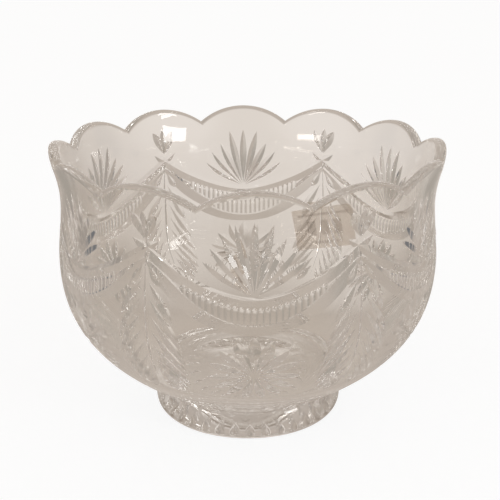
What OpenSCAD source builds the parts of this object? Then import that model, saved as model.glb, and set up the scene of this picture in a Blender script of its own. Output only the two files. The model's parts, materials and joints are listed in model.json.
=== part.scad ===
// Scalloped cut-crystal punch bowl on a short collar foot, with a paper lot label
// on the back. Millimetres, +Z up, origin at the centre of the foot's resting face.
// The front of the bowl faces -Y.

/* [Bowl] */
// Outside diameter at the tips of the scallops
rim_d = 300; // [285:1:330]
// Height of the whole piece, from the resting face to the tips of the scallops
total_h = 214; // [205:1:235]
// Outside diameter at the waist, below the flared rim
waist_d = 283.4; // [275:0.2:290]
// Outside diameter at the widest part of the belly
belly_d = 289.6; // [280:0.2:300]
// Thickness of the rim
rim_wall = 8.8; // [7:0.1:11]
// Thickness of the wall at the waist
waist_wall = 8.2; // [7:0.1:11]
// Thickness of the wall at the belly
belly_wall = 8.8; // [7:0.1:11]
// Height of the inside floor above the resting face
floor_h = 34; // [30:0.5:38]

/* [Scalloped rim] */
// Number of scallops around the rim
scallops = 12; // [10:1:14]
// Depth of the notches below the tips of the scallops
scallop_rise = 12.5; // [8:0.5:16]

/* [Foot] */
// Diameter where the bowl is joined to the foot
joint_d = 141; // [136:1:144]
// Height of the collar foot
foot_h = 23; // [20:0.5:26]
// How far the curve of the collar is drawn outside the joint
foot_bulge = 6.2; // [3:0.1:8]
// Outside diameter of the resting face
rest_d = 138; // [132:1:140]
// Diameter of the hollow under the foot
hollow_d = 108; // [90:1:116]
// Depth of the hollow at its centre
hollow_depth = 5; // [2:0.5:8]

/* [Lot label] */
// Length of the label
label_l = 62; // [50:1:70]
// Height of the label
label_w = 40; // [30:1:44]
// Thickness of the paper
label_t = 0.25; // [0.2:0.05:0.5]
// Height of the label's centre above the resting face
label_z = 113; // [100:1:120]
// Turn of the label around the bowl, from the back towards the right
label_turn = 32; // [0:1:60]
// Slope of the label
label_slope = 14; // [-20:1:20]

/* [Hidden] */
$fn = 96;

// steps along one stretch of a profile curve
curve_steps = 9;
// heights of the waist and belly, as shares of the height above the foot
waist_z = foot_h + 0.785 * (total_h - foot_h);
belly_z = foot_h + 0.55 * (total_h - foot_h);

rim_r = rim_d / 2;
waist_r = waist_d / 2;
belly_r = belly_d / 2;
joint_r = joint_d / 2;
rest_r = rest_d / 2;
hollow_r = hollow_d / 2;
// radius of the flat inside floor, where the wall begins to rise
floor_r = 48;
// the arcs pass this much above the rim, which leaves a short level stretch on each tip
tip_flat = 0.15;

// a point at t (0 to 1) on the cubic curve steered by four points
function on_curve(p, t) =
    pow(1 - t, 3) * p[0]
    + 3 * t * pow(1 - t, 2) * p[1]
    + 3 * t * t * (1 - t) * p[2]
    + pow(t, 3) * p[3];

// the points of one stretch, without its last point
function stretch(p) = [for (i = [0 : curve_steps - 1]) on_curve(p, i / curve_steps)];

// the outside of the bowl from the rim down to the joint, moved out by "grow"
function outside(grow = 0) = concat(
    stretch([
        [rim_r + grow, total_h],
        [rim_r - 3.5 + grow, total_h - 14],
        [waist_r + grow, waist_z + 17],
        [waist_r + grow, waist_z]
    ]),
    stretch([
        [waist_r + grow, waist_z],
        [waist_r + grow, waist_z - 15],
        [belly_r + grow, belly_z + 18],
        [belly_r + grow, belly_z]
    ]),
    stretch([
        [belly_r + grow, belly_z],
        [belly_r + grow, belly_z - 48],
        [joint_r + 51 + grow, foot_h + 29.5],
        [joint_r + grow, foot_h]
    ]),
    [[joint_r + grow, foot_h]]
);

// the inside of the bowl from the rim down to the flat floor
function inside() = concat(
    stretch([
        [rim_r - rim_wall, total_h],
        [rim_r - rim_wall - 3.2, total_h - 14],
        [waist_r - waist_wall, waist_z + 17],
        [waist_r - waist_wall, waist_z]
    ]),
    stretch([
        [waist_r - waist_wall, waist_z],
        [waist_r - waist_wall, waist_z - 15],
        [belly_r - belly_wall, belly_z + 18],
        [belly_r - belly_wall, belly_z]
    ]),
    stretch([
        [belly_r - belly_wall, belly_z],
        [belly_r - belly_wall, belly_z - 44],
        [floor_r + 52, floor_h],
        [floor_r, floor_h]
    ]),
    [[floor_r, floor_h]]
);

function reversed(list) = [for (i = [len(list) - 1 : -1 : 0]) list[i]];

// from a notch to the tip of the scallop beside it, straight across at the rim
half_chord = rim_r * sin(180 / scallops);
// radius of the arc that gives that length and rise
arc_r = (half_chord * half_chord + scallop_rise * scallop_rise) / (2 * scallop_rise);

// the gap between two scallops: what two round arcs leave above the notch
module notch() {
    translate([0, -rim_r / 2, 0])
        rotate([90, 0, 0])
            linear_extrude(rim_r)
                difference() {
                    translate([-half_chord, total_h - scallop_rise - 10])
                        square([2 * half_chord, scallop_rise + 20]);
                    for (side = [-1, 1])
                        translate([side * half_chord, total_h + tip_flat - arc_r])
                            circle(r = arc_r);
                }
}

// the blown and cut bowl: belly, waist and flared, scalloped rim
module bowl() {
    color([0.80, 0.77, 0.73, 0.55])
        difference() {
            rotate_extrude()
                polygon(concat(
                    outside(),
                    [[0, foot_h], [0, floor_h]],
                    reversed(inside())
                ));
            for (i = [0 : scallops - 1])
                rotate([0, 0, (i + 0.5) * 360 / scallops])
                    notch();
        }
}

// the collar foot that is fused under the bowl, hollowed a little underneath
module foot() {
    color([0.74, 0.71, 0.67, 0.65])
        rotate_extrude()
            polygon(concat(
                [[0, hollow_depth], [0, foot_h]],
                stretch([
                    [joint_r, foot_h],
                    [joint_r + foot_bulge / 2, foot_h - 3],
                    [joint_r + foot_bulge, 5],
                    [rest_r, 0]
                ]),
                [[rest_r, 0]],
                stretch([
                    [hollow_r, 0],
                    [hollow_r - 6, hollow_depth * 0.6],
                    [hollow_r / 2, hollow_depth],
                    [0, hollow_depth]
                ])
            ));
}

// the paper lot label, pasted flat against the outside of the back wall
module lot_label() {
    color([0.93, 0.88, 0.80])
        intersection() {
            rotate_extrude()
                polygon(concat(outside(label_t), reversed(outside())));
            rotate([0, 0, -label_turn])
                translate([0, belly_r, label_z])
                    rotate([0, -label_slope, 0])
                        cube([label_l, 80, label_w], center = true);
        }
}

bowl();
foot();
lot_label();
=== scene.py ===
"""A cut-crystal punch bowl: scalloped wall, collar foot and a paper lot label.

The pattern is laid out in millimetres on the unrolled outside of the wall: x runs to the right at
PATTERN_R from the axis, and s runs down the wall from the level of the scallop tips.
"""

import json
import math

import bpy
import numpy as np
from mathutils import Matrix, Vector

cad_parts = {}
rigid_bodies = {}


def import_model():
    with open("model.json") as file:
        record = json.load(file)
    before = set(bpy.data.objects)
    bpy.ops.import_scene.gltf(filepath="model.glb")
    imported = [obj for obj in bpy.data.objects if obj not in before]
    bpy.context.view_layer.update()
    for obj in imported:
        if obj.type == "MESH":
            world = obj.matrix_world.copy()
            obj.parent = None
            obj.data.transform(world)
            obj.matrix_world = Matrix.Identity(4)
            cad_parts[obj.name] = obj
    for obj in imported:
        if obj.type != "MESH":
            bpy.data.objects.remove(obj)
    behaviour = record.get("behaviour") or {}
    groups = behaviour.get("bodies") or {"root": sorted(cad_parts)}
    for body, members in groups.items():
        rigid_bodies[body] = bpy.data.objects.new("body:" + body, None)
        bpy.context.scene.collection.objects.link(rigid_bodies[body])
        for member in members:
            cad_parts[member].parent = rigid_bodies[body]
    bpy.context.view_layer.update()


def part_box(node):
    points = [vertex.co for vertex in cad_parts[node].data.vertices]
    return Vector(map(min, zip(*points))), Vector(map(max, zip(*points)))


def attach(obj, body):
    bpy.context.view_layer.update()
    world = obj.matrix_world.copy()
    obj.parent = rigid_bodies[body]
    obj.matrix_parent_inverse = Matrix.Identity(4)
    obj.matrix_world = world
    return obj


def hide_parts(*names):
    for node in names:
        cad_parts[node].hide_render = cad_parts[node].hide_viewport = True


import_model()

# ---------------------------------------------------------------- sizes, in millimetres
MM = 0.001
BOWL_LOW, BOWL_HIGH = (np.array(corner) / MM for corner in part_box("bowl"))
RIM_R = (BOWL_HIGH[0] - BOWL_LOW[0]) / 2
TIP_Z = BOWL_HIGH[2]
FOOT_H = BOWL_LOW[2]
WAIST_R, BELLY_R, JOINT_R = 141.7, 144.8, 70.5
WAIST_Z = FOOT_H + 0.785 * (TIP_Z - FOOT_H)
BELLY_Z = FOOT_H + 0.55 * (TIP_Z - FOOT_H)
RIM_WALL, WAIST_WALL, BELLY_WALL = 8.8, 8.2, 8.8
FLOOR_R, FLOOR_Z = 48.0, 34.0
REST_R, HOLLOW_R, HOLLOW_DEPTH, FOOT_BULGE = 69.0, 54.0, 5.0, 6.2
SCALLOPS, SCALLOP_RISE = 12, 12.5
PANELS = 6
LABEL_L, LABEL_W, LABEL_T, LABEL_Z = 62.0, 40.0, 0.22, 113.0
LABEL_TURN, LABEL_SLOPE = 32.0, 14.0
PATTERN_R = 143.0
NODE_X = PATTERN_R * math.pi / PANELS

COLUMNS, CURVE_STEPS = 360, 80


# ---------------------------------------------------------------- profile curves
def cubic(p0, p1, p2, p3, steps=CURVE_STEPS):
    """Points along a cubic curve, without its last point."""
    t = np.arange(steps)[:, None] / steps
    p0, p1, p2, p3 = (np.array(p, float) for p in (p0, p1, p2, p3))
    return (1 - t) ** 3 * p0 + 3 * t * (1 - t) ** 2 * p1 + 3 * t * t * (1 - t) * p2 + t**3 * p3


class Profile:
    """A smooth line (radius, height), read by the distance s along it."""

    def __init__(self, points):
        self.points = points
        steps = np.hypot(*np.diff(points, axis=0).T)
        self.s = np.concatenate([[0], np.cumsum(steps)])
        self.length = self.s[-1]
        along = np.gradient(points, self.s, axis=0)
        self.along = along / np.linalg.norm(along, axis=1)[:, None]

    def at(self, s):
        """Radius and height, and the unit direction of travel, at s."""
        r, z = (np.interp(s, self.s, self.points[:, i]) for i in (0, 1))
        dr, dz = (np.interp(s, self.s, self.along[:, i]) for i in (0, 1))
        size = np.hypot(dr, dz)
        return r, z, dr / size, dz / size

    def s_at_height(self, z):
        """s at a height, where the line only goes down."""
        return np.interp(-np.asarray(z), -self.points[:, 1], self.s)

    def radius_at_height(self, z):
        """Radius at a height."""
        return np.interp(-np.asarray(z), -self.points[:, 1], self.points[:, 0])


def wall_profile(inset, rim_lean, drop, low_guide, low_end):
    """The wall's line from the level of the tips down, by three cubics that meet at waist and belly.

    Inset holds its depth in the glass at rim, waist and belly; the rest are the curves' own guides.
    """
    rim, waist, belly = RIM_R - inset[0], WAIST_R - inset[1], BELLY_R - inset[2]
    return Profile(np.vstack([
        cubic((rim, TIP_Z), (rim - rim_lean, TIP_Z - 14), (waist, WAIST_Z + 17), (waist, WAIST_Z)),
        cubic((waist, WAIST_Z), (waist, WAIST_Z - 15), (belly, BELLY_Z + 18), (belly, BELLY_Z)),
        cubic((belly, BELLY_Z), (belly, BELLY_Z - drop), low_guide, low_end),
        [low_end],
    ]))


OUTSIDE = wall_profile(
    (0, 0, 0), rim_lean=3.5, drop=48,
    low_guide=(JOINT_R + 51, FOOT_H + 29.5), low_end=(JOINT_R, FOOT_H))
INSIDE = wall_profile(
    (RIM_WALL, WAIST_WALL, BELLY_WALL), rim_lean=3.2, drop=44,
    low_guide=(FLOOR_R + 52, FLOOR_Z), low_end=(FLOOR_R, FLOOR_Z))
FOOT_SIDE = Profile(np.vstack([
    cubic((JOINT_R, FOOT_H), (JOINT_R + FOOT_BULGE / 2, FOOT_H - 3),
          (JOINT_R + FOOT_BULGE, 5), (REST_R, 0)),
    [(REST_R, 0)],
]))


def rim_height(azimuth):
    """Height of the scalloped edge at an azimuth in radians: round arcs that meet in notches."""
    half_step = math.pi / SCALLOPS
    half_chord = RIM_R * math.sin(half_step)
    arc_r = (half_chord**2 + SCALLOP_RISE**2) / (2 * SCALLOP_RISE)
    from_tip = (azimuth + half_step) % (2 * half_step) - half_step
    across = RIM_R * np.sin(from_tip)
    return TIP_Z - arc_r + np.sqrt(arc_r**2 - across**2)


# ---------------------------------------------------------------- mesh helpers
def new_object(name, verts_mm, faces, materials):
    """A mesh object in the scene, from points in millimetres."""
    mesh = bpy.data.meshes.new(name)
    mesh.from_pydata((np.asarray(verts_mm) * MM).tolist(), [], faces)
    for material in materials:
        mesh.materials.append(material)
    mesh.update()
    obj = bpy.data.objects.new(name, mesh)
    bpy.context.scene.collection.objects.link(obj)
    return obj


def grid_faces(rows, columns):
    """Quads between rings of points, closed around the axis."""
    faces = []
    for i in range(rows - 1):
        for j in range(columns):
            k = (j + 1) % columns
            faces.append((i * columns + j, (i + 1) * columns + j, (i + 1) * columns + k, i * columns + k))
    return faces


def ring(r, z, azimuth):
    """Points round the axis; azimuth 0 is the front, and grows towards +X."""
    r, z, azimuth = np.broadcast_arrays(r, z, azimuth)
    return np.stack([r * np.sin(azimuth), -r * np.cos(azimuth), z], -1)


# ---------------------------------------------------------------- the plain wall
# the rounded edge: its height, how square it is, and how far it leans out as a share of its height
RIM_ROUND, RIM_SQUARENESS, RIM_LEAN = 3.6, 2.5, 0.22
# rings follow the scallops down to BLEND_S, and are level below it
BLEND_S, EDGE_ROWS, RIM_ROWS, WALL_STEP = 32.0, 8, 12, 3.0


def wall_rows(profile, azimuth, edge_z):
    """Rings of one side of the wall, from under the rounded rim down to the profile's end."""
    s_edge = profile.s_at_height(edge_z)
    rings = []
    for i in range(EDGE_ROWS):
        s = s_edge + (BLEND_S - s_edge) * i / EDGE_ROWS
        r, z, _, _ = profile.at(s)
        rings.append(ring(r, z, azimuth))
    for s in np.linspace(BLEND_S, profile.length, int((profile.length - BLEND_S) / WALL_STEP)):
        r, z, _, _ = profile.at(s)
        rings.append(ring(r, z, azimuth))
    return rings


def rim_rows(azimuth, edge_z, top_z):
    """Rings over the rounded rim, from the inside edge to the outside edge."""
    r_out = OUTSIDE.radius_at_height(edge_z)
    r_in = INSIDE.radius_at_height(edge_z)
    rings = []
    for turn in np.linspace(math.pi, 0, RIM_ROWS + 2)[1:-1]:
        across = np.sign(math.cos(turn)) * abs(math.cos(turn)) ** (2 / RIM_SQUARENESS)
        rise = math.sin(turn) ** (2 / RIM_SQUARENESS)
        lean = RIM_LEAN * (top_z - edge_z) * rise
        r = (r_out + r_in) / 2 + across * (r_out - r_in) / 2 + lean
        rings.append(ring(r, edge_z + (top_z - edge_z) * rise, azimuth))
    return rings


def plain_bowl(materials):
    """The uncut bowl: inside, rounded rim, outside and the flat face that is fused to the foot."""
    azimuth = np.arange(COLUMNS) * 2 * math.pi / COLUMNS
    top_z = rim_height(azimuth)
    edge_z = top_z - RIM_ROUND
    inner = wall_rows(INSIDE, azimuth, edge_z)
    outer = wall_rows(OUTSIDE, azimuth, edge_z)
    floor = [ring(FLOOR_R * share, FLOOR_Z, azimuth) for share in (0.25, 0.5, 0.75)]
    weld = [ring(JOINT_R * share, FOOT_H, azimuth) for share in (0.66, 0.33)]
    rings = floor + inner[::-1] + rim_rows(azimuth, edge_z, top_z) + outer + weld
    verts = np.vstack(rings + [[(0, 0, FLOOR_Z), (0, 0, FOOT_H)]])
    faces = grid_faces(len(rings), COLUMNS)
    centre, last = len(rings) * COLUMNS, (len(rings) - 1) * COLUMNS
    for j in range(COLUMNS):
        k = (j + 1) % COLUMNS
        faces.append((centre, j, k))
        faces.append((centre + 1, last + k, last + j))
    return new_object("bowl_crystal", verts, faces, materials)


# ---------------------------------------------------------------- the cutter's wheel
# how far a cutting solid stands out of the glass, and its sections as (across, how deep) from -1 to 1
CLEAR = 1.2
MITRE = ((-1, 0), (0, 1), (1, 0))
FLUTE_TURNS = np.radians((-60, -45, -30, -15, 0, 15, 30, 45, 60))
FLUTE = tuple((math.sin(turn) / math.sin(math.pi / 3), (math.cos(turn) - 0.5) / 0.5)
              for turn in FLUTE_TURNS)


def on_wall(x, s, azimuth):
    """Place, outward normal, and the directions to the right and down, on the outside of the wall."""
    r, z, dr, dz = OUTSIDE.at(s)
    turn = azimuth + x / PATTERN_R
    sin, cos = np.sin(turn), np.cos(turn)
    place = np.stack([r * sin, -r * cos, z], -1)
    normal = np.stack([-dz * sin, dz * cos, dr], -1)
    right = np.stack([cos, sin, 0 * sin], -1)
    down = np.stack([dr * sin, -dr * cos, dz], -1)
    return place, normal, right, down


def cut(x, s, width, depth, azimuth, section=MITRE, tilt=0.0):
    """A closed solid to take away: a groove along (x, s), with its width and depth at each point.

    A groove that runs to the right has its wider wing below the line when tilt is above 0.
    """
    values = np.broadcast_arrays(x, s, width, depth, tilt)
    x, s, width, depth, tilt = (np.asarray(v, float) for v in values)
    place, normal, right, down = on_wall(x, s, azimuth)
    stretch = OUTSIDE.at(s)[0] / PATTERN_R
    travel = right * (np.gradient(x) * stretch)[:, None] + down * np.gradient(s)[:, None]
    side = np.cross(normal, travel)
    side /= np.linalg.norm(side, axis=1)[:, None]
    slope = (width / 2 / np.maximum(np.abs(depth), 1e-6))[:, None]
    wing = (depth[:, None] + CLEAR) * slope
    rings = []
    for across, sink in section:
        reach = wing * across * (1 - tilt[:, None] * np.sign(across))
        level = CLEAR - (depth[:, None] + CLEAR) * sink
        rings.append(place + side * reach + normal * level)
    count, n = len(section), len(x)
    verts = np.stack(rings, 1).reshape(-1, 3)
    faces = []
    for i in range(n - 1):
        for j in range(count):
            k = (j + 1) % count
            faces.append((i * count + j, i * count + k, (i + 1) * count + k, (i + 1) * count + j))
    faces.append(tuple(range(count - 1, -1, -1)))
    faces.append(tuple((n - 1) * count + j for j in range(count)))
    return verts, faces


LEAF_FULLNESS, LEAF_RUN_OUT = 0.85, 0.05


def leaf(x, s, width, depth, azimuth, widest=0.6, **more):
    """A cut that is pointed at both ends, and widest at a share of its length; more goes on to cut().

    Its very ends rise out of the glass, so that they run out to a point on the surface.
    """
    t = np.linspace(0, 1, len(x))
    bend = math.log(0.5) / math.log(widest)
    swell = np.sin(math.pi * t**bend) ** LEAF_FULLNESS
    swell = (swell - LEAF_RUN_OUT) / (1 - LEAF_RUN_OUT)
    return cut(x, s, width * np.abs(swell), depth * swell, azimuth, **more)


# ---------------------------------------------------------------- the pattern of one panel
# s of each band at the middle of its swag, and how far it rises to the nodes
UPPER_LOW_S, UPPER_RISE = 76.2, 31.2
LOWER_LOW_S, LOWER_RISE = 94.4, 49.0
SWAG_ROUNDING = 0.004


def upper_swag(x):
    """The bottom of the upper band's groove, which eases off past a node."""
    u = np.abs(x) / NODE_X
    past = np.maximum(u - 1, 0)
    return UPPER_LOW_S - UPPER_RISE * (u * u + SWAG_ROUNDING) ** 0.82 + 12 * past


def lower_swag(x):
    """The bottom of the lower band's groove, which flattens towards a node."""
    u = np.abs(x) / NODE_X
    near = np.maximum(u - 0.7, 0) / 0.3
    return LOWER_LOW_S - LOWER_RISE * (u * u + SWAG_ROUNDING) ** 0.965 + 7.0 * near**2


BLADE_STEP, BLADE_ROOT_S, BLADE_WIDTH, BLADE_DEPTH = 14.0, 73.2, 6.2, 2.1
BLADE_LENGTHS = (51.5, 51.5, 45.0, 44.0, 41.5)


def fan(azimuth):
    """Nine blades that spread up from the middle of the swag."""
    blades = []
    for i in range(-4, 5):
        lean = math.radians(BLADE_STEP * i)
        length = BLADE_LENGTHS[abs(i)]
        t = np.linspace(0.03, 1, 14)
        x = length * t * math.sin(lean)
        s = BLADE_ROOT_S - length * t * math.cos(lean)
        blades.append(leaf(x, s, BLADE_WIDTH, BLADE_DEPTH, azimuth, widest=0.6))
    return blades


STAR_RAYS, STAR_S, STAR_R, STAR_DEPTH = 15, 133.0, 32.5, 2.3
STAR_WIDTH, STAR_MORE_ABOVE = 6.6, 3.2


def star(azimuth):
    """Fifteen rays on the lower wall, round on the true surface."""
    rays = []
    for i in range(STAR_RAYS):
        lean = 2 * math.pi * i / STAR_RAYS
        t = np.linspace(0.05, 1, 12)
        s = STAR_S - STAR_R * t * math.cos(lean)
        x = STAR_R * t * math.sin(lean) * PATTERN_R / OUTSIDE.at(s)[0]
        width = STAR_WIDTH + STAR_MORE_ABOVE * max(0.0, math.cos(lean)) ** 2
        rays.append(leaf(x, s, width, STAR_DEPTH, azimuth, widest=0.62))
    return rays


FLUTES_EACH_WAY, FLUTE_PITCH, FLUTE_DEPTH = 11, 4.25, 1.6
# gaps to the bands above and below, and the length over which a flute rounds in at its top
FLUTE_GAP_ABOVE, FLUTE_GAP_BELOW, FLUTE_ROUND_IN = 3.9, 0.4, 4.5


def flutes(azimuth):
    """The row of upright flutes between the two swags."""
    row = []
    for i in range(-FLUTES_EACH_WAY, FLUTES_EACH_WAY + 1):
        x = FLUTE_PITCH * i
        top, bottom = upper_swag(x) + FLUTE_GAP_ABOVE, lower_swag(x) - FLUTE_GAP_BELOW
        s = np.linspace(top, bottom, 10)
        share = np.clip((s - top) / FLUTE_ROUND_IN, 0.0, 1.0)
        swell = share * (2 - share) * 1.05 - 0.05
        width = FLUTE_PITCH * np.abs(swell)
        row.append(cut(np.full(len(s), x), s, width, FLUTE_DEPTH * swell, azimuth, section=FLUTE))
    return row


# how far the upper band runs past a node, the width of each band's wing above its line, and the depths
SWAG_OVERRUN = 10.5
UPPER_ABOVE, UPPER_DEPTH = 3.1, 2.0
LOWER_ABOVE, LOWER_DEPTH = 2.5, 2.1


def swags(azimuth):
    """The two bands that hang from node to node; the upper one runs on past each node.

    Each is a lopsided groove: a narrow steep wing above, and a wide easy one below.
    """
    reach = NODE_X + SWAG_OVERRUN
    x = np.linspace(-reach, reach, 97)
    u = np.abs(x) / NODE_X
    fade = np.clip((reach - np.abs(x)) / 9, 0, 1)
    swell = np.sin(fade * math.pi / 2) * 1.04 - 0.04
    below = 3.6 + 2.2 * np.sin(math.pi * np.clip(u, 0, 1) ** 1.4)
    width, tilt = UPPER_ABOVE + below, (below - UPPER_ABOVE) / (below + UPPER_ABOVE)
    upper = cut(x, upper_swag(x), width * np.abs(swell), UPPER_DEPTH * swell, azimuth, tilt=tilt)
    x = np.linspace(-NODE_X, NODE_X, 91)
    u = np.abs(x) / NODE_X
    fade = np.clip((1 - u) / 0.3, 0, 1)
    swell = 0.22 + 0.78 * np.sin(fade * math.pi / 2)
    below = 6.4 + 2.4 * np.sin(math.pi * u**1.6)
    width, tilt = LOWER_ABOVE + below, (below - LOWER_ABOVE) / (below + LOWER_ABOVE)
    lower = cut(x, lower_swag(x), width * swell, LOWER_DEPTH * swell, azimuth, tilt=tilt)
    return [upper, lower]


# the sprig's leaves as (lean in degrees, length, width)
SPRIG_LEAVES = ((-27, 23.0, 8.0), (1, 22.5, 6.0), (29, 23.0, 7.2))
SPRIG_ROOT_S, SPRIG_DEPTH = 40.8, 2.1
STROKE_TOP_S, STROKE_END_S, STROKE_WIDTH, STROKE_DEPTH = 43.5, 53.5, 2.4, 1.0


def sprig(azimuth):
    """Three leaves above a node, and the short stroke below it."""
    cuts = []
    for lean, length, width in SPRIG_LEAVES:
        t = np.linspace(0, 1, 14)
        angle = np.radians(lean * (0.62 + 0.55 * t))
        x = np.cumsum(np.sin(angle)) * length / 14
        s = SPRIG_ROOT_S - np.cumsum(np.cos(angle)) * length / 14
        cuts.append(leaf(x, s, width, SPRIG_DEPTH, azimuth, widest=0.58))
    s = np.linspace(STROKE_TOP_S, STROKE_END_S, 8)
    cuts.append(leaf(np.zeros(8), s, STROKE_WIDTH, STROKE_DEPTH, azimuth, widest=0.5))
    return cuts


VEIN_TOP_S, VEIN_END_S, VEIN_WIDTH, VEIN_DEPTH = 50.5, 158, 1.6, 0.8
PLUME_LENGTHS = (20, 36, 45, 49, 50, 48, 42, 34, 24)
PLUME_TOP_S, PLUME_STEP, PLUME_WIDTH, PLUME_DEPTH = 53.5, 11.2, 6.8, 1.6


def pendant(azimuth):
    """The plume that hangs below a node: a vein, and long leaves that leave it in pairs."""
    cuts = []
    s = np.linspace(VEIN_TOP_S, VEIN_END_S, 40)
    cuts.append(leaf(np.zeros(40), s, VEIN_WIDTH, VEIN_DEPTH, azimuth, widest=0.4))
    for i, length in enumerate(PLUME_LENGTHS):
        t = np.linspace(0, 1, 16)
        lean = np.radians(37 - 9 * t)
        x = 0.6 + np.cumsum(np.sin(lean)) * length / 16
        s = PLUME_TOP_S + PLUME_STEP * i + np.cumsum(np.cos(lean)) * length / 16
        for way in (-1, 1):
            cuts.append(leaf(way * x, s, PLUME_WIDTH, PLUME_DEPTH, azimuth, widest=0.62))
    return cuts


def all_cuts():
    """Every cut of the six panels and of the six nodes between them."""
    cuts = []
    for panel in range(PANELS):
        middle = 2 * math.pi * panel / PANELS
        node = middle + math.pi / PANELS
        for motif in (swags, flutes, fan, star):
            cuts += motif(middle)
        for motif in (sprig, pendant):
            cuts += motif(node)
    return cuts


def take_away(obj, cuts):
    """Cut every groove out of the plain bowl."""
    tools = bpy.data.collections.new("cutting_wheel")
    bpy.context.scene.collection.children.link(tools)
    for i, (verts, faces) in enumerate(cuts):
        tool = new_object(f"wheel_{i}", verts, faces, obj.data.materials[:1])
        bpy.context.scene.collection.objects.unlink(tool)
        tools.objects.link(tool)
    modifier = obj.modifiers.new("cuts", "BOOLEAN")
    modifier.operation = "DIFFERENCE"
    modifier.operand_type = "COLLECTION"
    modifier.collection = tools
    modifier.solver = "MANIFOLD"
    depsgraph = bpy.context.evaluated_depsgraph_get()
    mesh = bpy.data.meshes.new_from_object(obj.evaluated_get(depsgraph))
    obj.modifiers.clear()
    obj.data = mesh
    for tool in list(tools.objects):
        bpy.data.meshes.remove(tool.data)
    bpy.data.collections.remove(tools)


def read(items, attribute, width=1, kind=np.float32):
    """One attribute of every item of a mesh, as an array."""
    values = np.zeros(len(items) * width, kind)
    items.foreach_get(attribute, values)
    return values.reshape(-1, width) if width > 1 else values


# degrees between faces from which an edge of a cut stays crisp
FACET_ANGLE = 16
# how near the wall's line, and how well turned, an uncut face has to be
ON_LINE, TURNED = 0.06, 0.985


def polish(obj):
    """Smooth shading with crisp facet edges, and the wall's own true normals on the uncut wall."""
    mesh = obj.data
    mesh.shade_smooth()
    mesh.set_sharp_from_angle(angle=math.radians(FACET_ANGLE))
    points = read(mesh.vertices, "co", 3) / MM
    facing = read(mesh.polygons, "normal", 3)
    corner_vertex = read(mesh.loops, "vertex_index", kind=np.int32)
    corner_edge = read(mesh.loops, "edge_index", kind=np.int32)
    corners = read(mesh.polygons, "loop_total", kind=np.int32)
    corner_face = np.repeat(np.arange(len(corners)), corners)
    radius, height = np.hypot(points[:, 0], points[:, 1]), points[:, 2]
    outwards = points[:, :2] / radius.clip(1e-6)[:, None]
    walls = []
    for profile, way, low in ((OUTSIDE, 1, FOOT_H + 0.5), (INSIDE, -1, FLOOR_Z + 0.3)):
        r, _, dr, dz = profile.at(profile.s_at_height(height))
        true_normal = way * np.stack([-dz * outwards[:, 0], -dz * outwards[:, 1], dr], -1)
        on_line = (np.abs(radius - r) < ON_LINE) & (height > low) & (height < TIP_Z)
        agree = (true_normal[corner_vertex] * facing[corner_face]).sum(1) > TURNED
        on_wall_face = np.ones(len(mesh.polygons), bool)
        np.logical_and.at(on_wall_face, corner_face, on_line[corner_vertex] & agree)
        walls.append((on_wall_face[corner_face], true_normal[corner_vertex]))
    uncut = walls[0][0] | walls[1][0]
    beside = np.bincount(corner_edge, weights=uncut, minlength=len(mesh.edges))
    sharp = read(mesh.edges, "use_edge_sharp", kind=bool) | (beside == 1)
    mesh.edges.foreach_set("use_edge_sharp", sharp)
    mesh.update()
    normals = read(mesh.corner_normals, "vector", 3)
    for use, true_normal in walls:
        normals[use] = true_normal[use]
    mesh.normals_split_custom_set(normals.tolist())


# ---------------------------------------------------------------- foot
FOOT_SIDE_ROWS, HOLLOW_ROWS, HOLLOW_FULLNESS = 26, 14, 1.2


def foot_solid(materials):
    """The uncut foot: its flat top, bulging side, resting ring and shallow hollow."""
    columns = COLUMNS // 2
    azimuth = np.arange(columns) * 4 * math.pi / COLUMNS
    top = [ring(JOINT_R * share, FOOT_H, azimuth) for share in (0.33, 0.66)]
    side = []
    for s in np.linspace(0, FOOT_SIDE.length, FOOT_SIDE_ROWS):
        r, z, _, _ = FOOT_SIDE.at(s)
        side.append(ring(r, z, azimuth))
    hollow = []
    for share in np.linspace(0, 1, HOLLOW_ROWS)[:-1]:
        r = HOLLOW_R * (1 - share)
        z = HOLLOW_DEPTH * math.sin(share * math.pi / 2) ** HOLLOW_FULLNESS
        hollow.append(ring(r, z, azimuth))
    rings = top + side + hollow
    verts = np.vstack(rings + [[(0, 0, FOOT_H), (0, 0, HOLLOW_DEPTH)]])
    faces = grid_faces(len(rings), columns)
    centre, last = len(rings) * columns, (len(rings) - 1) * columns
    for j in range(columns):
        k = (j + 1) % columns
        faces.append((centre, j, k))
        faces.append((centre + 1, last + k, last + j))
    return new_object("foot_crystal", verts, faces, materials)


FOOT_RAYS = 28
RAY_START_R, RAY_END_R, RAY_HALF_WIDTH, RAY_DEPTH = 36.0, HOLLOW_R - 2, 4.6, 2.2


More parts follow.
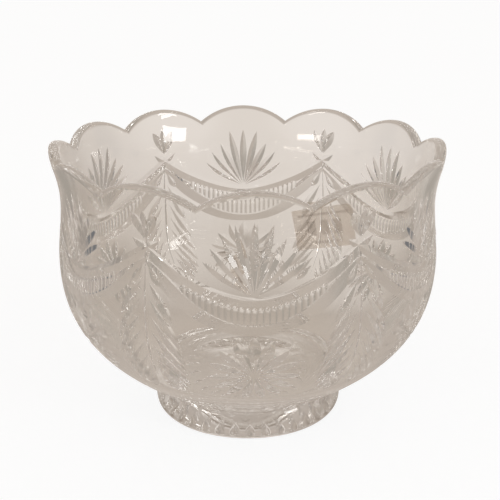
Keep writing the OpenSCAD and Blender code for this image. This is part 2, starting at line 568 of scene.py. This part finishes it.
def foot_rays():
    """A ring of short mitre cuts under the foot, along the rim of its hollow."""
    cuts = []
    up = np.array((0, 0, 1))
    for i in range(FOOT_RAYS):
        turn = 2 * math.pi * i / FOOT_RAYS
        out = np.array((math.sin(turn), -math.cos(turn), 0))
        side = np.array((math.cos(turn), math.sin(turn), 0))
        t = np.linspace(0, 1, 14)
        r = RAY_START_R + (RAY_END_R - RAY_START_R) * t
        swell = (np.sin(math.pi * t**1.36) ** 0.8 - 0.04) / 0.96
        roof = HOLLOW_DEPTH * np.sin((1 - r / HOLLOW_R) * math.pi / 2) ** HOLLOW_FULLNESS
        half, deep = 0.4 + RAY_HALF_WIDTH * np.abs(swell), RAY_DEPTH * swell
        rings = []
        for across, sink in MITRE:
            level = roof - CLEAR + (deep + CLEAR) * sink
            spread = side * (half * across)[:, None]
            rings.append(out * r[:, None] + spread + up * level[:, None])
        verts = np.stack(rings, 1).reshape(-1, 3)
        faces = [(0, 1, 2), (len(verts) - 1, len(verts) - 2, len(verts) - 3)]
        for k in range(len(t) - 1):
            for j in range(3):
                m = (j + 1) % 3
                faces.append((k * 3 + j, (k + 1) * 3 + j, (k + 1) * 3 + m, k * 3 + m))
        cuts.append((verts, faces))
    return cuts


def mark_weld(obj, material_index=1):
    """Give the flat face where bowl and foot are fused its own material."""
    for face in obj.data.polygons:
        if abs(face.center.z / MM - FOOT_H) < 0.01 and abs(face.normal.z) > 0.99:
            face.material_index = material_index


# ---------------------------------------------------------------- label
# gap under the paper, and points along and across it
LABEL_GAP = 0.03
LABEL_COLUMNS, LABEL_ROWS = 56, 34


def lot_label(material):
    """A thin sheet bent round the outside of the back wall, with a flat UV map of its face."""
    across, up = LABEL_COLUMNS, LABEL_ROWS
    a, b = np.meshgrid(np.linspace(-0.5, 0.5, across) * LABEL_L, np.linspace(-0.5, 0.5, up) * LABEL_W)
    slope, turn = math.radians(LABEL_SLOPE), math.radians(LABEL_TURN)
    x = a * math.cos(slope) - b * math.sin(slope)
    z = a * math.sin(slope) + b * math.cos(slope) + LABEL_Z
    sheets = []
    for lift in (LABEL_GAP, LABEL_T):
        depth = np.sqrt((OUTSIDE.radius_at_height(z) + lift) ** 2 - x**2)
        sheets.append(np.stack([x * math.cos(turn) + depth * math.sin(turn),
                                depth * math.cos(turn) - x * math.sin(turn), z], -1).reshape(-1, 3))
    count = across * up
    faces = []
    for row in range(up - 1):
        for col in range(across - 1):
            i = row * across + col
            faces.append((i, i + 1, i + across + 1, i + across))
            faces.append((count + i, count + i + across, count + i + across + 1, count + i + 1))
    edge = [row * across for row in range(up - 1, 0, -1)]
    edge += list(range(across - 1)) + [row * across + across - 1 for row in range(up - 1)]
    edge += [(up - 1) * across + col for col in range(across - 1, 0, -1)]
    for i, start in enumerate(edge):
        end = edge[(i + 1) % len(edge)]
        faces.append((end, start, count + start, count + end))
    sheet = new_object("label_sheet", np.vstack(sheets), faces, [material])
    flat = np.tile(np.stack([a / LABEL_L + 0.5, b / LABEL_W + 0.5], -1).reshape(-1, 2), (2, 1))
    corner_vertex = read(sheet.data.loops, "vertex_index", kind=np.int32)
    sheet.data.uv_layers.new(name="face").uv.foreach_set("vector", flat[corner_vertex].ravel())
    sheet.data.shade_smooth()
    sheet.data.set_sharp_from_angle(angle=math.radians(40))
    return sheet


# ---------------------------------------------------------------- materials
# colours of the label's paper, its worn patches and its bars
PAPER, PAPER_WORN, INK = (1.0, 0.94, 0.88), (0.98, 0.91, 0.84), (0.66, 0.59, 0.53)
# left, right, low and high edge of each bar, as shares of the label's face
PRINT_BARS = (
    (0.08, 0.92, 0.82, 0.88),
    (0.20, 0.34, 0.34, 0.70),
    (0.42, 0.56, 0.34, 0.70),
    (0.64, 0.78, 0.34, 0.70),
    (0.30, 0.70, 0.13, 0.20),
)


def node_material(name):
    """A new material, its nodes, its links and its shader."""
    material = bpy.data.materials.new(name)
    material.use_nodes = True
    nodes = material.node_tree.nodes
    return material, nodes, material.node_tree.links, nodes["Principled BSDF"]


# sockets of a mix node for colours
MIX_SHARE, MIX_FIRST, MIX_SECOND, MIX_RESULT = 0, 6, 7, 2


def mixed(nodes, links, share, first, second):
    """A colour socket that goes from first (a socket) to second (a colour)."""
    mix = nodes.new("ShaderNodeMix")
    mix.data_type = "RGBA"
    links.new(share, mix.inputs[MIX_SHARE])
    links.new(first, mix.inputs[MIX_FIRST])
    mix.inputs[MIX_SECOND].default_value = (*second, 1)
    return mix.outputs[MIX_RESULT]


def two_tone(nodes, links, share, first, second):
    """A colour socket that goes from one colour to another."""
    mix = nodes.new("ShaderNodeMix")
    mix.data_type = "RGBA"
    links.new(share, mix.inputs[MIX_SHARE])
    mix.inputs[MIX_FIRST].default_value = (*first, 1)
    mix.inputs[MIX_SECOND].default_value = (*second, 1)
    return mix.outputs[MIX_RESULT]


def noise(nodes, links, coordinates, scale, detail=3.0, roughness=0.5, stretch=(1, 1, 1)):
    """A noise value over the object's own coordinates; scale is in waves per metre."""
    mapping = nodes.new("ShaderNodeMapping")
    mapping.inputs["Scale"].default_value = stretch
    links.new(coordinates, mapping.inputs["Vector"])
    texture = nodes.new("ShaderNodeTexNoise")
    texture.inputs["Scale"].default_value = scale
    texture.inputs["Detail"].default_value = detail
    texture.inputs["Roughness"].default_value = roughness
    links.new(mapping.outputs["Vector"], texture.inputs["Vector"])
    return texture.outputs["Fac"]


def remap(nodes, links, value, low, high, to_low, to_high):
    """A value from low to high, stretched to to_low to to_high with soft ends."""
    node = nodes.new("ShaderNodeMapRange")
    node.interpolation_type = "SMOOTHSTEP"
    for name, number in zip(("From Min", "From Max", "To Min", "To Max"), (low, high, to_low, to_high)):
        node.inputs[name].default_value = number
    links.new(value, node.inputs["Value"])
    return node.outputs["Result"]


CRYSTAL_IOR, PAPER_IOR = 1.545, 1.05


def crystal_material(name, tint, deep_tint, bump):
    """Clear lead crystal: a faint warm tint that varies, fire-polish ripple and light smears."""
    material, nodes, links, shader = node_material(name)
    place = nodes.new("ShaderNodeTexCoord").outputs["Object"]
    melt = remap(nodes, links, noise(nodes, links, place, 14, 2.0), 0.35, 0.65, 0, 1)
    links.new(two_tone(nodes, links, melt, tint, deep_tint), shader.inputs["Base Color"])
    smear = noise(nodes, links, place, 60, 6.0, 0.62, (1, 1, 0.35))
    links.new(remap(nodes, links, smear, 0.56, 0.78, 0.0, 0.025), shader.inputs["Roughness"])
    ripple = nodes.new("ShaderNodeBump")
    ripple.inputs["Strength"].default_value = bump
    ripple.inputs["Distance"].default_value = 0.0006
    links.new(noise(nodes, links, place, 55, 1.0, 0.4, (1, 1, 0.6)), ripple.inputs["Height"])
    links.new(ripple.outputs["Normal"], shader.inputs["Normal"])
    shader.inputs["IOR"].default_value = CRYSTAL_IOR
    shader.inputs["Transmission Weight"].default_value = 1.0
    return material


def paper_material():
    """Warm uncoated label paper with plain grey bars where a lot ticket has its print."""
    material, nodes, links, shader = node_material("label_paper")
    coordinates = nodes.new("ShaderNodeTexCoord")
    fibre = noise(nodes, links, coordinates.outputs["Object"], 900, 4.0, 0.65, (1, 1, 1.8))
    mottle = noise(nodes, links, coordinates.outputs["Object"], 45, 2.0)
    worn = remap(nodes, links, mottle, 0.35, 0.65, 0, 1)
    paper = two_tone(nodes, links, worn, PAPER, PAPER_WORN)
    split = nodes.new("ShaderNodeSeparateXYZ")
    links.new(coordinates.outputs["UV"], split.inputs[0])
    print_share = None
    for left, right, low, high in PRINT_BARS:
        bar = nodes.new("ShaderNodeMath")
        bar.operation = "MULTIPLY"
        for socket, axis, near, far in ((0, "X", left, right), (1, "Y", low, high)):
            inside = nodes.new("ShaderNodeMath")
            inside.operation = "COMPARE"
            inside.inputs[1].default_value = (near + far) / 2
            inside.inputs[2].default_value = (far - near) / 2
            links.new(split.outputs[axis], inside.inputs[0])
            links.new(inside.outputs[0], bar.inputs[socket])
        if print_share is None:
            print_share = bar.outputs[0]
            continue
        either = nodes.new("ShaderNodeMath")
        either.operation = "MAXIMUM"
        links.new(print_share, either.inputs[0])
        links.new(bar.outputs[0], either.inputs[1])
        print_share = either.outputs[0]
    ink_share = nodes.new("ShaderNodeMath")
    ink_share.operation = "MULTIPLY"
    links.new(print_share, ink_share.inputs[0])
    links.new(remap(nodes, links, fibre, 0.3, 0.6, 0.62, 0.85), ink_share.inputs[1])
    printed = mixed(nodes, links, ink_share.outputs[0], paper, INK)
    links.new(printed, shader.inputs["Base Color"])
    grain = nodes.new("ShaderNodeBump")
    grain.inputs["Strength"].default_value = 0.35
    grain.inputs["Distance"].default_value = 0.0001
    links.new(fibre, grain.inputs["Height"])
    links.new(grain.outputs["Normal"], shader.inputs["Normal"])
    links.new(remap(nodes, links, fibre, 0.3, 0.7, 0.25, 0.4), shader.inputs["Roughness"])
    shader.inputs["Specular IOR Level"].default_value = 0.25
    shader.inputs["Transmission Weight"].default_value = 0.8
    shader.inputs["IOR"].default_value = PAPER_IOR
    return material


def weld_material():
    """No optical surface at all: the glass runs on through the fused joint."""
    material, nodes, links, shader = node_material("fused_joint")
    clear = nodes.new("ShaderNodeBsdfTransparent")
    links.new(clear.outputs[0], nodes["Material Output"].inputs["Surface"])
    nodes.remove(shader)
    return material


# ---------------------------------------------------------------- stage
# degrees to the left of the front, mm out and up, degrees down, lens in mm
CAMERA_TURN, CAMERA_OUT, CAMERA_UP, CAMERA_PITCH, CAMERA_LENS = 1.7, 783.1, 385.9, 18.28, 76.1
# degrees that it looks to the right of the axis
CAMERA_YAW = math.degrees(math.atan(2.2 / 1057))


def make_camera():
    """The camera, at the angle that the scallop notches gave."""
    data = bpy.data.cameras.new("camera")
    data.lens = CAMERA_LENS
    camera = bpy.data.objects.new("camera", data)
    bpy.context.scene.collection.objects.link(camera)
    turn, yaw = math.radians(CAMERA_TURN), math.radians(CAMERA_YAW)
    out, up = CAMERA_OUT * MM, CAMERA_UP * MM
    camera.location = (-out * math.sin(turn), -out * math.cos(turn), up)
    camera.rotation_euler = (math.radians(90 - CAMERA_PITCH), 0, -turn - yaw)
    bpy.context.scene.camera = camera


WALLS = (0.49, 0.43, 0.38)
# direction (azimuth from the back towards +X, elevation), inner and outer radius in degrees, colour
GLOWS = (
    ("table", 0, -44, 8, 24, (0.54, 0.475, 0.42)),
    ("backdrop", 6, 1, 14, 28.5, (0.78, 0.72, 0.67)),
    ("window_glow_right", 133, 12, 8, 40, (0.92, 0.87, 0.83)),
    ("window_glow_left", -133, 12, 8, 40, (0.92, 0.87, 0.83)),
    ("room_front", 180, -8, 10, 38, (0.37, 0.335, 0.305)),
    ("side_right", 44, -14, 5, 25, (0.60, 0.55, 0.50)),
    ("side_left", -48, -8, 6, 27, (0.32, 0.285, 0.255)),
    ("shade_right", 33, -26, 4, 16, (0.38, 0.345, 0.305)),
    ("shade_left", -33, -26, 4, 16, (0.38, 0.345, 0.305)),
    ("ceiling", 0, 90, 15, 50, (0.27, 0.22, 0.18)),
    ("dark_gap_right", 76, 3, 4, 15, (0.13, 0.14, 0.155)),
    ("dark_gap_left", -76, 3, 4, 15, (0.13, 0.14, 0.155)),
)


def make_world():
    """A warm studio: a pale backdrop, window glows on both sides of the camera, and a dim room."""
    world = bpy.data.worlds.new("studio")
    bpy.context.scene.world = world
    world.use_nodes = True
    nodes, links = world.node_tree.nodes, world.node_tree.links
    direction = nodes.new("ShaderNodeTexCoord").outputs["Generated"]
    colour = nodes.new("ShaderNodeRGB")
    colour.outputs[0].default_value = (*WALLS, 1)
    colour = colour.outputs[0]
    for name, azimuth, elevation, inner, outer, tone in GLOWS:
        turn, rise = math.radians(azimuth), math.radians(elevation)
        towards = nodes.new("ShaderNodeVectorMath")
        towards.operation = "DOT_PRODUCT"
        towards.inputs[1].default_value = (
            math.sin(turn) * math.cos(rise), math.cos(turn) * math.cos(rise), math.sin(rise))
        links.new(direction, towards.inputs[0])
        share = nodes.new("ShaderNodeMapRange")
        share.label = name
        share.interpolation_type = "SMOOTHSTEP"
        share.inputs["From Min"].default_value = math.cos(math.radians(outer))
        share.inputs["From Max"].default_value = math.cos(math.radians(inner))
        links.new(towards.outputs["Value"], share.inputs["Value"])
        colour = mixed(nodes, links, share.outputs["Result"], colour, tone)
    path = nodes.new("ShaderNodeLightPath")
    colour = mixed(nodes, links, path.outputs["Is Camera Ray"], colour, (1, 1, 1))
    links.new(colour, nodes["Background"].inputs["Color"])


FLOOR_HALF, FLOOR_DROP = 6000, 0.2
FLOOR_TONE, FLOOR_GLOW = (0.25, 0.27, 0.29), 0.86


def make_floor():
    """A pale floor that the glass doesn't show, so that the glass keeps the studio's tones."""
    corners = [(FLOOR_HALF * x, FLOOR_HALF * y, 0) for x, y in ((-1, -1), (1, -1), (1, 1), (-1, 1))]
    floor = new_object("floor", corners, [(0, 1, 2, 3)], [floor_material()])
    floor.location.z = -FLOOR_DROP * MM
    floor.visible_transmission = False
    floor.visible_glossy = False


def floor_material():
    """Plain near-white, lit up so that it meets the white background."""
    material, _, _, shader = node_material("pale_floor")
    shader.inputs["Base Color"].default_value = (*FLOOR_TONE, 1)
    shader.inputs["Roughness"].default_value = 1.0
    shader.inputs["Specular IOR Level"].default_value = 0.0
    shader.inputs["Emission Color"].default_value = (1, 1, 1, 1)
    shader.inputs["Emission Strength"].default_value = FLOOR_GLOW
    return material


SOFTBOX_AIM_Z = 150


def softbox(name, azimuth, elevation, width, height, power, colour, distance=2.2):
    """A window of light; azimuth is from the front towards +X, in degrees, and sizes are in metres."""
    data = bpy.data.lights.new(name, "AREA")
    data.shape = "RECTANGLE"
    data.size, data.size_y = width, height
    data.energy = power
    data.color = colour
    light = bpy.data.objects.new(name, data)
    bpy.context.scene.collection.objects.link(light)
    aim = Vector((0, 0, SOFTBOX_AIM_Z * MM))
    turn, rise = math.radians(azimuth), math.radians(elevation)
    offset = Vector((math.sin(turn) * math.cos(rise), -math.cos(turn) * math.cos(rise), math.sin(rise)))
    light.location = aim + offset * distance
    light.rotation_euler = (aim - light.location).to_track_quat("-Z", "Y").to_euler()


# ---------------------------------------------------------------- build
make_camera()
make_world()
make_floor()
softbox("window_left", -45.5, 9.5, 0.66, 0.24, 2.8, (1.0, 0.93, 0.87))
softbox("window_right", 51.5, 12, 0.66, 0.46, 7, (1.0, 1.0, 1.0))

weld = weld_material()
crystal = crystal_material("bowl_crystal", (0.965, 0.96, 0.95), (0.955, 0.945, 0.925), 0.05)
# the foot's glass is a darker copy of the bowl's crystal: painted shade, so that the foot looks darker
# than the bowl
foot_glass_painted_shade = crystal_material("foot_crystal", (0.91, 0.905, 0.895), (0.895, 0.885, 0.87), 0.0)

bowl = plain_bowl([crystal, weld])
take_away(bowl, all_cuts())
mark_weld(bowl)
polish(bowl)
foot = foot_solid([foot_glass_painted_shade, weld])
take_away(foot, foot_rays())
mark_weld(foot)
foot.data.shade_smooth()
foot.data.set_sharp_from_angle(angle=math.radians(FACET_ANGLE))
label = lot_label(paper_material())

for piece, node, slot in ((bowl, "bowl", "bowl_crystal"), (foot, "foot", "foot_crystal"),
                          (label, "lot_label", "label_paper")):
    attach(piece, "root")
    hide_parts(node)

# light runs a long way round inside cut glass before it comes out
BOUNCES = 64
scene = bpy.context.scene
scene.view_settings.view_transform = "Standard"
scene.cycles.max_bounces = scene.cycles.transmission_bounces = BOUNCES
scene.cycles.glossy_bounces = scene.cycles.transparent_max_bounces = BOUNCES
